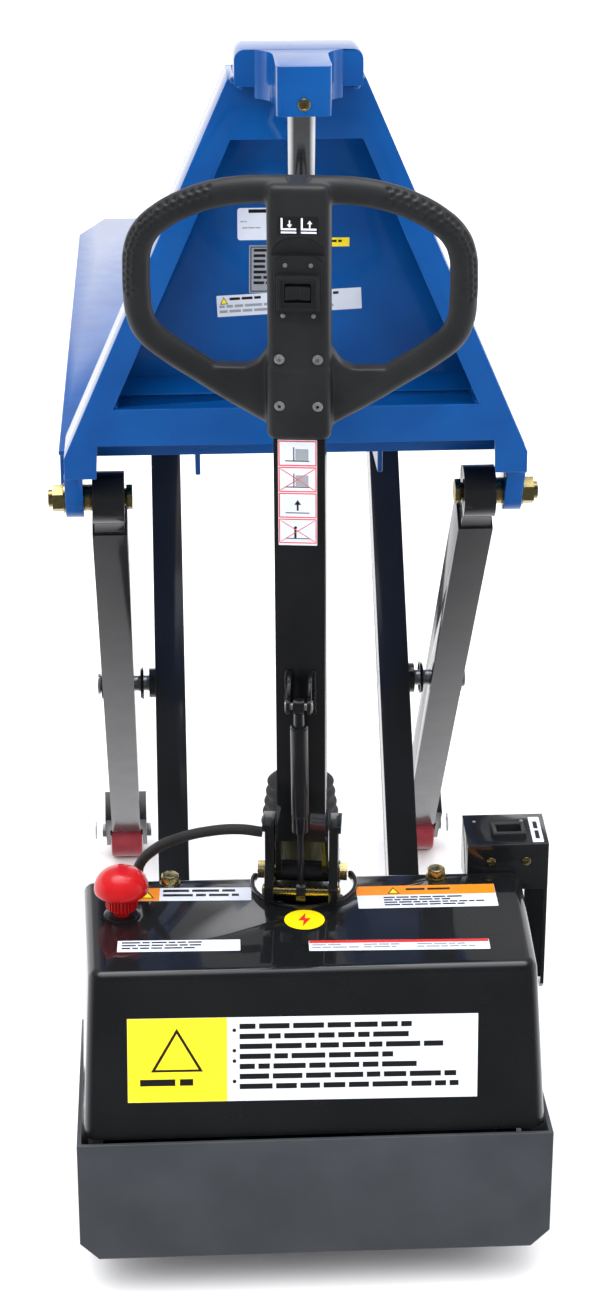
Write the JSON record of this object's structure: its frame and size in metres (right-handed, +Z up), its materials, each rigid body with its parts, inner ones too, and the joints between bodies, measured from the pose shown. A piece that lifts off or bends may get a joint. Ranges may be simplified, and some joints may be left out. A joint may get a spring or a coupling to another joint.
{
  "type": "pallet jack",
  "caption": "Battery-powered scissor pallet jack with its forks raised on crossed arms, a lift ram, a boxed power pack, and a looped tiller with lift switch and emergency stop.",
  "frame": {"origin": "on the floor under the middle of the machine's length and width", "axes": "+Y from the operator's end towards the fork tips, +X to the operator's right, +Z up"},
  "size_m": [0.556, 1.592, 1.277],
  "materials": {
    "blue_paint": "gloss blue enamel",
    "black_paint": "gloss black enamel on steel",
    "arm_paint": "satin black enamel on steel",
    "cover_plastic": "gloss black vacuum-formed plastic",
    "handle_plastic": "matt black moulded plastic",
    "switch_plastic": "fine matt black plastic",
    "red_plastic": "gloss red plastic",
    "zinc_gold": "yellow zinc plate",
    "steel": "bright steel",
    "chrome": "ground hard chrome",
    "wheel_red": "dark red polyurethane",
    "cast_hub": "grey casting",
    "rubber": "black rubber",
    "battery_case": "dark grey battery case"
  },
  "bodies": {
    "chassis": {"base_frame": "black_paint", "bumper_tray": "black_paint", "cover": "cover_plastic", "batteries": "battery_case", "pump_motor": "black_paint", "oil_tank": "steel", "cylinder_tube": "black_paint", "cylinder_boot": "rubber", "cover_bolts": "zinc_gold", "stop_collar": "red_plastic", "charger_box": "arm_paint", "charger_socket": "switch_plastic", "charger_screws": "steel", "cable": "rubber", "cable_gland": "rubber", "base_pins": "zinc_gold"},
    "stop_knob": {"stop_button": "red_plastic"},
    "steering": {"steer_yoke": "black_paint", "steer_axle": "steel", "tiller_bracket": "black_paint", "tiller_pivot_bolt": "zinc_gold", "spring_pin": "zinc_gold"},
    "steer_wheel_left": {"steer_tyre_left": "wheel_red", "steer_hub_left": "cast_hub"},
    "steer_wheel_right": {"steer_tyre_right": "wheel_red", "steer_hub_right": "cast_hub"},
    "tiller": {"tiller_tube": "black_paint", "handle_head": "handle_plastic", "handle_loop": "handle_plastic", "head_screws": "steel", "switch_panel": "switch_plastic", "spring_clevis": "black_paint"},
    "rocker": {"lift_rocker": "switch_plastic"},
    "spring_tube": {"gas_spring_tube": "black_paint"},
    "spring_rod": {"gas_spring_rod": "steel"},
    "inner_frame": {"inner_arm_left": "arm_paint", "inner_arm_right": "arm_paint", "inner_cross_tube": "arm_paint", "mid_pins": "steel", "roller_axles": "steel"},
    "fork_roller_l": {"fork_roller_left": "wheel_red"},
    "fork_roller_r": {"fork_roller_right": "wheel_red"},
    "outer_left": {"outer_arm_left": "arm_paint", "load_axle_left": "steel"},
    "outer_right": {"outer_arm_right": "arm_paint", "load_axle_right": "steel"},
    "load_wheel_l": {"load_wheel_left": "wheel_red"},
    "load_wheel_r": {"load_wheel_right": "wheel_red"},
    "fork_frame": {"left_fork": "blue_paint", "right_fork": "blue_paint", "mast_frame": "blue_paint", "back_panel": "blue_paint", "crosshead": "blue_paint", "crosshead_screw": "zinc_gold", "pivot_lugs": "blue_paint", "lug_bolts": "zinc_gold", "lug_nuts": "zinc_gold", "lift_ram": "chrome"},
    "lower_sleeve": {"sleeve_lower": "chrome"},
    "upper_sleeve": {"sleeve_upper": "chrome"}
  },
  "joints": [
    {"name": "lift_scissor", "type": "hinge", "parent": "chassis", "child": "inner_frame", "pos_m": [0, -0.346, 0.038], "axis": [1, 0, 0], "range_deg": [-50.18, 0]},
    {"name": "outer_left_fold", "type": "hinge", "parent": "inner_frame", "child": "outer_left", "pos_m": [0, -0.04853, 0.398], "axis": [1, 0, 0], "range_deg": [0, 100.57]},
    {"name": "outer_right_fold", "type": "hinge", "parent": "inner_frame", "child": "outer_right", "pos_m": [0, -0.04853, 0.398], "axis": [1, 0, 0], "range_deg": [0, 100.57]},
    {"name": "fork_level", "type": "hinge", "parent": "outer_left", "child": "fork_frame", "pos_m": [0, -0.346, 0.758], "axis": [1, 0, 0], "range_deg": [-50.28, 0]},
    {"name": "fork_roller_spin_l", "type": "hinge", "parent": "inner_frame", "child": "fork_roller_l", "pos_m": [0, 0.24894, 0.758], "axis": [1, 0, 0], "continuous": true},
    {"name": "fork_roller_spin_r", "type": "hinge", "parent": "inner_frame", "child": "fork_roller_r", "pos_m": [0, 0.24894, 0.758], "axis": [1, 0, 0], "continuous": true},
    {"name": "load_wheel_spin_l", "type": "hinge", "parent": "outer_left", "child": "load_wheel_l", "pos_m": [0, 0.24894, 0.038], "axis": [1, 0, 0], "continuous": true},
    {"name": "load_wheel_spin_r", "type": "hinge", "parent": "outer_right", "child": "load_wheel_r", "pos_m": [0, 0.24894, 0.038], "axis": [1, 0, 0], "continuous": true},
    {"name": "sleeve_lower_slide", "type": "slide", "parent": "chassis", "child": "lower_sleeve", "axis": [0, 0, -1], "range_m": [0, 0.2165]},
    {"name": "sleeve_upper_slide", "type": "slide", "parent": "chassis", "child": "upper_sleeve", "axis": [0, 0, -1], "range_m": [0, 0.4625]},
    {"name": "steer", "type": "hinge", "parent": "chassis", "child": "steering", "pos_m": [0, -0.559, 0.2], "axis": [0, 0, 1], "range_deg": [-38.5, 51.5], "deforming": ["cable"]},
    {"name": "steer_wheel_spin_l", "type": "hinge", "parent": "steering", "child": "steer_wheel_left", "pos_m": [0, -0.559, 0.09], "axis": [0.9936, -0.1132, 0], "continuous": true},
    {"name": "steer_wheel_spin_r", "type": "hinge", "parent": "steering", "child": "steer_wheel_right", "pos_m": [0, -0.559, 0.09], "axis": [0.9936, -0.1132, 0], "continuous": true},
    {"name": "tiller_tilt", "type": "hinge", "parent": "steering", "child": "tiller", "pos_m": [-0.00306, -0.58583, 0.403], "axis": [0.9936, -0.1132, 0], "range_deg": [0, 60], "stiffness_Nm_per_rad": 14, "springref_deg": -22.92},
    {"name": "rocker_press", "type": "hinge", "parent": "tiller", "child": "rocker", "pos_m": [-0.01208, -0.665, 1.0845], "axis": [0.9936, -0.1132, 0], "range_deg": [-8, 8], "stiffness_Nm_per_rad": 0.3},
    {"name": "spring_tube_swing", "type": "hinge", "parent": "tiller", "child": "spring_tube", "pos_m": [-0.01125, -0.65775, 0.63312], "axis": [0.9936, -0.1132, 0], "range_deg": [0, 2]},
    {"name": "spring_rod_slide", "type": "slide", "parent": "spring_tube", "child": "spring_rod", "axis": [-0.0213, -0.187, 0.9821], "range_m": [0, 0.03]},
    {"name": "stop_press", "type": "slide", "parent": "chassis", "child": "stop_knob", "axis": [0, 0, -1], "range_m": [0, 0.006], "stiffness_N_per_m": 1500, "springref_m": -0.002}
  ],
  "couplings": [
    {"joint": "outer_left_fold", "follows": "lift_scissor", "ratio": -2},
    {"joint": "outer_right_fold", "follows": "lift_scissor", "ratio": -2},
    {"joint": "fork_level", "follows": "lift_scissor", "ratio": 1},
    {"joint": "sleeve_lower_slide", "follows": "lift_scissor", "m_per_rad": -0.24662},
    {"joint": "sleeve_upper_slide", "follows": "lift_scissor", "m_per_rad": -0.52748},
    {"joint": "spring_tube_swing", "follows": "tiller_tilt", "ratio": 0.024},
    {"joint": "spring_rod_slide", "follows": "tiller_tilt", "m_per_rad": 0.0275}
  ]
}
